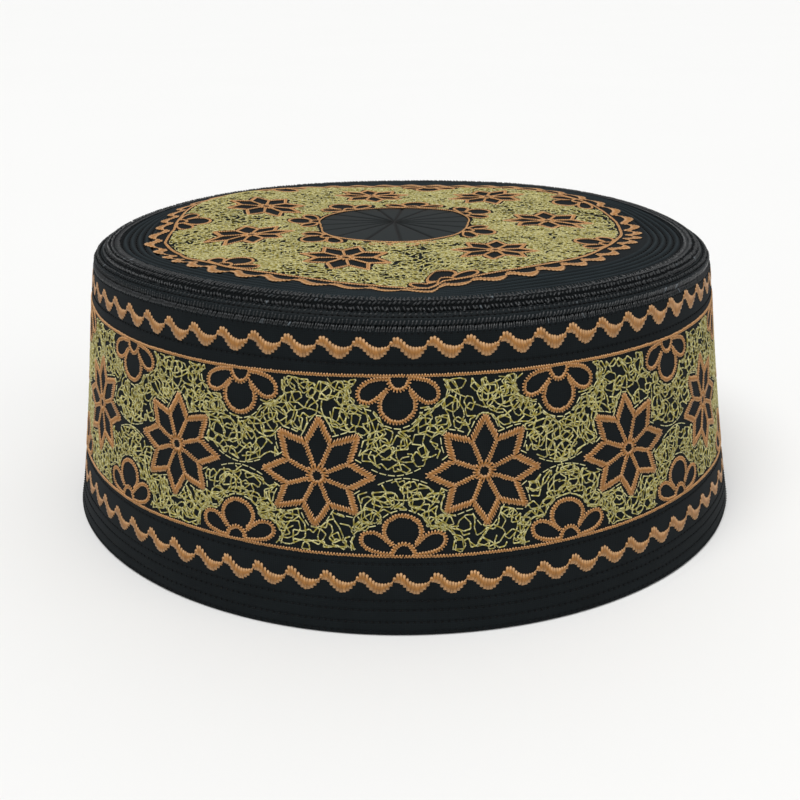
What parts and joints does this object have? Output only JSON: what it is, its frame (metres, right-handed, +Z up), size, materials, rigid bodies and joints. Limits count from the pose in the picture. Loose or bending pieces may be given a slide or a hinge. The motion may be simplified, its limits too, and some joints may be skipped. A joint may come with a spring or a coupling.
{
  "type": "kufi cap",
  "caption": "Stiff quilted round kufi with a flat crown, a corded seam round the crown's edge and an open head hollow, standing on its hem.",
  "frame": {"origin": "on the resting surface, under the middle of the cap's box", "axes": "+Z up through the crown, +X along the longer way of the oval, -Y towards the viewer"},
  "size_m": [0.194, 0.1886, 0.0782],
  "materials": {
    "black_cotton": "matt woven cotton, stiffened by quilting",
    "folded_cotton": "matt folded cotton edge, stitched into a roll",
    "black_thread": "glossy black overcast and quilting thread",
    "copper_thread": "satin stitched copper orange embroidery thread",
    "green_thread": "fine running stitched yellow green embroidery thread"
  },
  "bodies": {
    "root": {"side_band": "black_cotton", "edge_roll": "folded_cotton", "overcast_ridge": "black_thread", "crown_panel": "black_cotton"}
  },
  "joints": []
}
